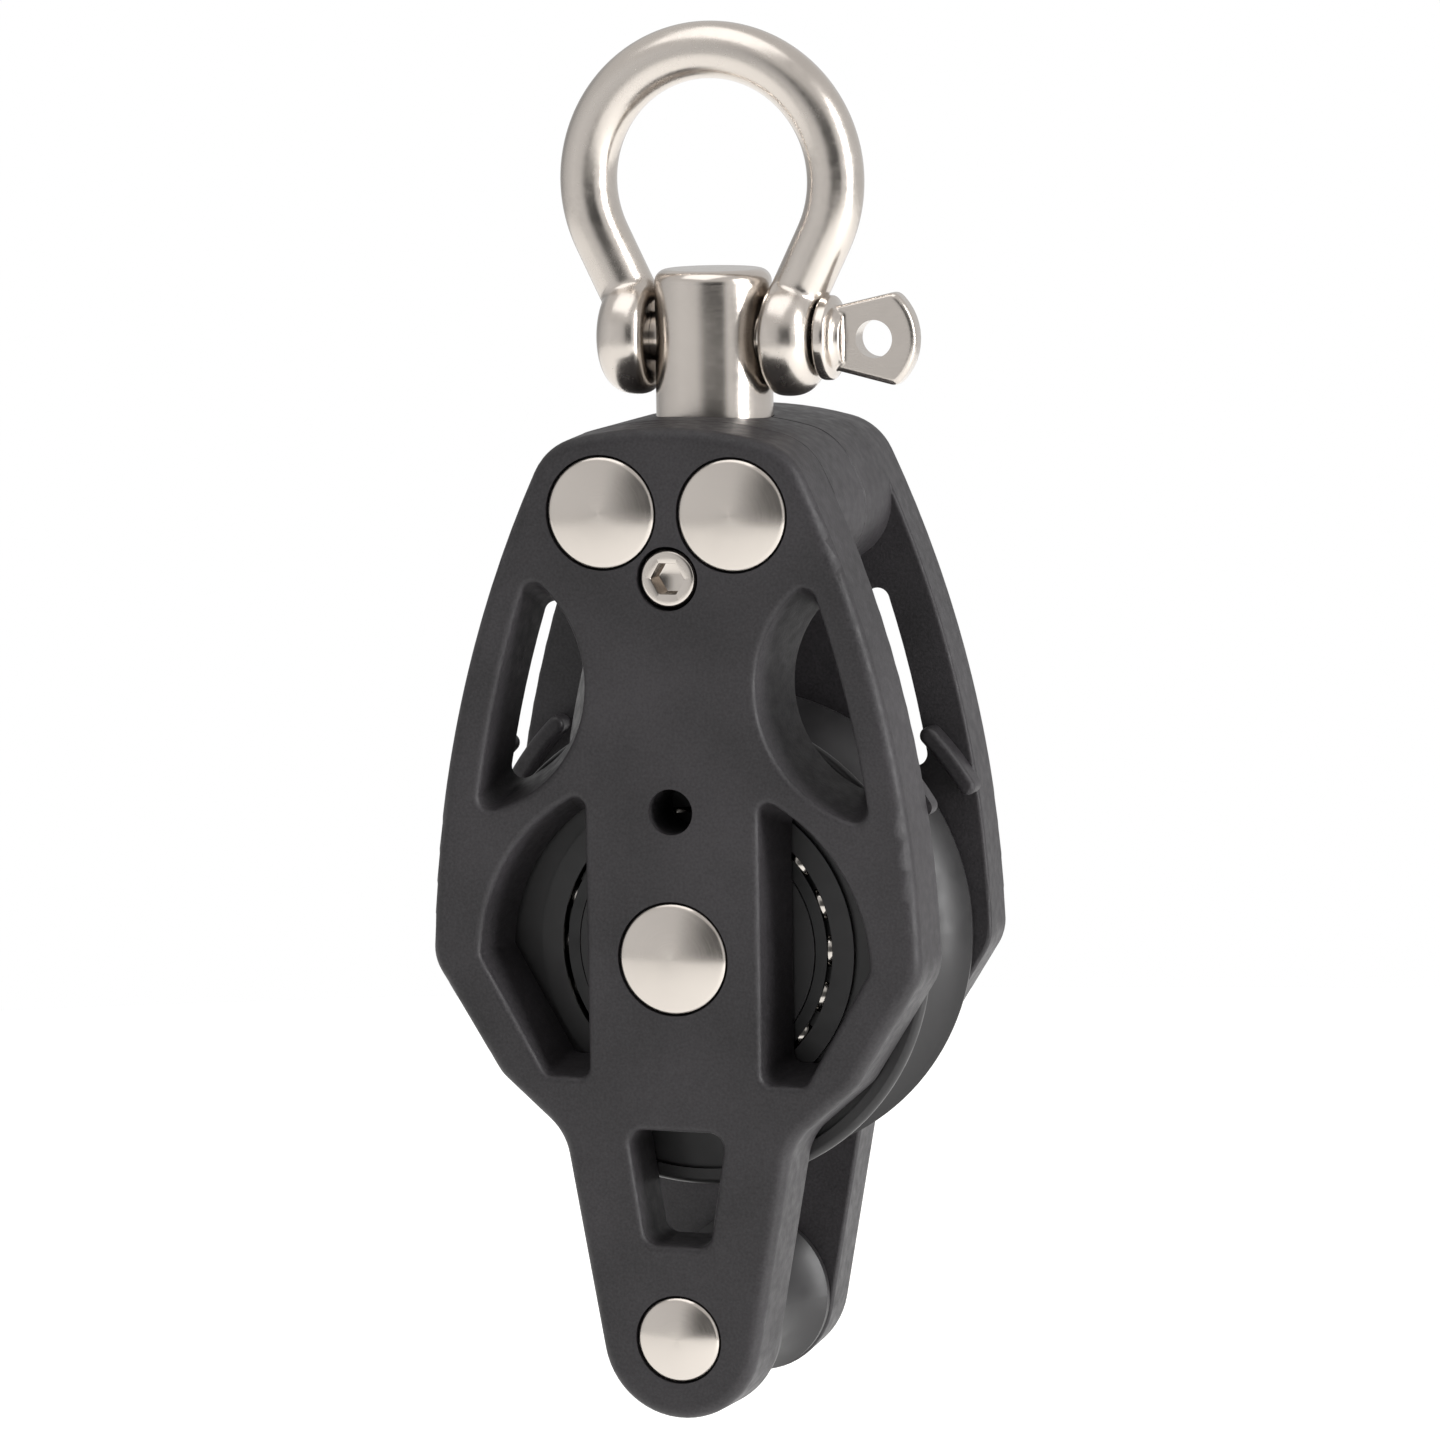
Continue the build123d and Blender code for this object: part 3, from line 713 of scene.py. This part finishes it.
class BLOCK_OT_shackle_pin(bpy.types.Operator):
    """Model the pin: a turned shank and collar that run into a flat wing with an eye"""

    bl_idname = "block.shackle_pin"
    bl_label = "Shackle pin"

    def execute(self, context):
        sizes = context.scene.block_shackle
        low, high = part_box("shackle_pin")
        shank = sizes.pin / 2
        collar = (high[1] - low[1]) / 2
        edge = 0.5 * MM
        tip = [(low[0], 0), (low[0], shank - edge), (low[0] + edge, shank)]
        seat = [(EAR_OUTER + 0.1 * MM, shank), (EAR_OUTER + 0.4 * MM, collar - 0.9 * MM)]
        shoulder = [
            *arc((EAR_OUTER + 0.7 * MM, collar - edge), edge, 180, 90, 5),
            *arc((EAR_OUTER + 1.4 * MM, collar - edge), edge, 90, 10, 5),
        ]
        # a hollow neck between the collar and the wing
        neck = arc((EAR_OUTER + 3.5 * MM, collar - 0.4 * MM), 1.5 * MM, 190, 260, 7)
        profile = [*tip, *seat, *shoulder, *neck, (EAR_OUTER + 3.3 * MM, 0)]
        turned = turn_piece("pin_turned", profile, (1, 0, 0), PIN_HEIGHT, steps=96)
        # the wing: a flat plate, wider towards its round end
        root, corner = 3.7 * MM, 5.7 * MM
        root_x, corner_x = 15.0 * MM, 23.4 * MM
        bulge = high[0] - corner_x
        sweep = (corner**2 + bulge**2) / (2 * bulge)
        lean = math.degrees(math.asin(corner / sweep))
        end = arc((high[0] - sweep, 0), sweep, lean, -lean, 14)
        outline = [(root_x, root), *end, (root_x, -root)]
        half, eye_x = 1.45 * MM, 20.8 * MM
        wing = draw_chain("wing", [(x, -half, PIN_HEIGHT + z) for x, z in outline])
        bpy.ops.mesh.select_all(action="SELECT")
        bpy.ops.mesh.edge_face_add()
        bpy.ops.mesh.extrude_region_move(TRANSFORM_OT_translate={"value": (0, 2 * half, 0)})
        close_up()
        use_modifier(wing, "BEVEL", width=0.65 * MM, segments=4, limit_method="ANGLE", angle_limit=0.7)
        pin = join_into("shackle_pin_forged", turned, wing)
        use_modifier(pin, "REMESH", mode="VOXEL", voxel_size=0.16 * MM, use_smooth_shade=True)
        use_modifier(pin, "SMOOTH", factor=0.5, iterations=5)
        bore(pin, sizes.eye / 2, 10 * MM, (eye_x, 0, PIN_HEIGHT), (math.pi / 2, 0, 0))
        smooth(pin, 50)
        steel = srgb(context.scene.block_finish.steel)
        brushed = satin_stainless("Stainless steel pin brushed", steel, 0.22, (1, 0, 0))
        finish_piece(pin, brushed, "shackle_pin", "shackle_pin", "shackle_pin")
        return {"FINISHED"}


# ---- stage -------------------------------------------------------------------------------


def towards(azimuth, lift):
    """Unit vector from the block, azimuth to the right of straight ahead and lift upwards."""
    flat = math.cos(lift)
    return Vector((math.sin(azimuth) * flat, -math.cos(azimuth) * flat, math.sin(lift)))


def place_camera(scene, sizes):
    """Set the camera on its aim, turned a little about its view."""
    back = towards(sizes.azimuth, sizes.elevation)
    level = Vector((math.cos(sizes.azimuth), math.sin(sizes.azimuth), 0))
    upright = back.cross(level)
    right = math.cos(sizes.roll) * level + math.sin(sizes.roll) * upright
    up = -math.sin(sizes.roll) * level + math.cos(sizes.roll) * upright
    aim = Vector((6.49 * MM, FRONT_FACE, 29.29 * MM))
    place = Matrix((right, up, back)).transposed().to_4x4()
    place.translation = aim + back * sizes.distance
    bpy.ops.object.select_all(action="DESELECT")
    bpy.ops.object.camera_add()
    camera = bpy.context.object
    camera.name = "camera"
    camera.matrix_world = place
    camera.data.lens = 174.36
    camera.data.sensor_width = 36
    camera.data.clip_end = 100
    scene.camera = camera


def place_softboxes(sizes):
    """Light from a tall softbox on the right and a wide one above."""
    reach = 1.4
    for name, power, azimuth, lift, size in (
        ("side_softbox", sizes.side_light, 77, 12, (0.3, 1.3)),
        ("top_softbox", sizes.top_light, -30, 72, (1.2, 1.2)),
    ):
        away = towards(math.radians(azimuth), math.radians(lift))
        bpy.ops.object.light_add(type="AREA", location=away * reach)
        light = bpy.context.object
        light.name = name
        light.rotation_mode = "QUATERNION"
        light.rotation_quaternion = away.to_track_quat("Z", "Y")
        light.data.shape = "RECTANGLE"
        light.data.size, light.data.size_y = size
        light.data.energy = power


def lay_floor():
    """Lay a pale disc of paper well below the block."""
    bpy.ops.mesh.primitive_circle_add(vertices=96, radius=1.7, fill_type="NGON", location=(0, 0, -0.3))
    bpy.ops.object.transform_apply(location=True, rotation=True, scale=True)
    floor = bpy.context.object
    floor.name = "floor"
    paper, _, _, _ = start_material(
        "Studio paper",
        Base_Color=srgb("#f6f6f4"),
        Roughness=0.9,
        Emission_Color=srgb("#ffffff"),
        Emission_Strength=0.6,
    )
    floor.data.materials.append(paper)


def paint_surround(scene):
    """Surround of plain white, with pale cards and dark gaps for the steel to mirror."""
    world = bpy.data.worlds.new("studio")
    scene.world = world
    world.use_nodes = True
    tree = world.node_tree
    tree.nodes.clear()
    coords = add_node(tree, "ShaderNodeTexCoord")
    way = add_node(tree, "ShaderNodeSeparateXYZ", {"Vector": (coords, "Generated")})
    ahead = add_node(tree, "ShaderNodeMath", {0: (way, "Y"), 1: -1.0}, operation="MULTIPLY")
    turn = add_node(tree, "ShaderNodeMath", {0: (way, "X"), 1: (ahead, "Value")}, operation="ARCTAN2")
    around = add_node(
        tree,
        "ShaderNodeMapRange",
        {"Value": (turn, "Value"), "From Min": -math.pi, "From Max": math.pi},
    )
    cards = add_node(tree, "ShaderNodeValToRGB", {"Fac": (around, "Result")})
    # brightness by azimuth in degrees: cards behind and to the left, a gap ahead, a card on the right
    stops = ((-180, 0.8), (-120, 0.4), (-95, 0.7), (-50, 0.95), (-16, 0.85), (2, 0.14))
    stops += ((36, 0.06), (44, 0.8), (52, 0.9), (64, 0.4), (90, 0.8), (180, 0.8))
    ramp = cards.color_ramp
    while len(ramp.elements) < len(stops):
        ramp.elements.new(0.5)
    for element, (azimuth, _) in zip(ramp.elements, stops):
        element.position = (azimuth + 180) / 360
    for element, (_, value) in zip(ramp.elements, stops):
        element.color = (value, value, value, 1)
    # above and below, the cards give way to an even pale grey
    overhead = add_node(
        tree,
        "ShaderNodeMapRange",
        {"Value": (way, "Z"), "From Min": 0.3, "From Max": 0.55},
    )
    low_down = add_node(
        tree,
        "ShaderNodeMapRange",
        {"Value": (way, "Z"), "From Min": -0.06, "From Max": -0.32},
    )
    lit = add_node(
        tree,
        "ShaderNodeMath",
        {0: (overhead, "Result"), 1: (low_down, "Result")},
        operation="ADD",
    )
    pale = (0.8, 0.79, 0.78, 1.0)
    surround = add_node(
        tree,
        "ShaderNodeMixRGB",
        {"Fac": (lit, "Value"), "Color1": (cards, "Color"), "Color2": pale},
    )
    seen = add_node(tree, "ShaderNodeLightPath")
    shown = add_node(
        tree,
        "ShaderNodeMixRGB",
        {"Fac": (seen, "Is Camera Ray"), "Color1": (surround, "Color"), "Color2": (1.0, 1.0, 1.0, 1.0)},
    )
    # the white room lights less than it mirrors, so that hollows stay dark
    dimmed = add_node(
        tree,
        "ShaderNodeMath",
        {0: (seen, "Is Diffuse Ray"), 1: -0.25, 2: 1.0},
        operation="MULTIPLY_ADD",
    )
    light = add_node(
        tree,
        "ShaderNodeBackground",
        {"Color": (shown, "Color"), "Strength": (dimmed, "Value")},
    )
    add_node(tree, "ShaderNodeOutputWorld", {"Surface": (light, "Background")})


class BLOCK_OT_stage(bpy.types.Operator):
    """Set the camera, softboxes, studio surround and pale floor"""

    bl_idname = "block.stage"
    bl_label = "Stage"

    def execute(self, context):
        scene = context.scene
        scene.view_settings.view_transform = "Standard"
        place_camera(scene, scene.block_studio)
        place_softboxes(scene.block_studio)
        lay_floor()
        paint_surround(scene)
        return {"FINISHED"}


class BLOCK_PT_pieces(bpy.types.Panel):
    """Pieces and settings of the sheave block"""

    bl_label = "Sheave block"
    bl_space_type = "VIEW_3D"
    bl_region_type = "UI"
    bl_category = "Block"

    def draw(self, context):
        for operator in OPERATORS:
            self.layout.operator(operator.bl_idname)
        for group in SETTINGS:
            box = self.layout.box()
            owner = getattr(context.scene, group)
            for name in type(owner).__annotations__:
                box.prop(owner, name)


OPERATORS = (
    BLOCK_OT_cheeks,
    BLOCK_OT_sheave,
    BLOCK_OT_bearing,
    BLOCK_OT_rivets,
    BLOCK_OT_lock_screw,
    BLOCK_OT_swivel,
    BLOCK_OT_shackle_bow,
    BLOCK_OT_shackle_pin,
    BLOCK_OT_stage,
)
SETTINGS = {
    "block_finish": BlockFinishSettings,
    "block_rivets": BlockRivetSettings,
    "block_shackle": BlockShackleSettings,
    "block_studio": BlockStudioSettings,
}


def register():
    """Register the classes and hang the settings on the scene."""
    for group in (*SETTINGS.values(), *OPERATORS, BLOCK_PT_pieces):
        bpy.utils.register_class(group)
    for name, group in SETTINGS.items():
        setattr(bpy.types.Scene, name, PointerProperty(type=group))


def unregister():
    """Take the settings and classes away again."""
    for name in SETTINGS:
        delattr(bpy.types.Scene, name)
    for group in reversed((*SETTINGS.values(), *OPERATORS, BLOCK_PT_pieces)):
        bpy.utils.unregister_class(group)


def main():
    register()
    for operator in OPERATORS:
        family, name = operator.bl_idname.split(".")
        getattr(getattr(bpy.ops, family), name)()


if __name__ == "__main__":
    main()
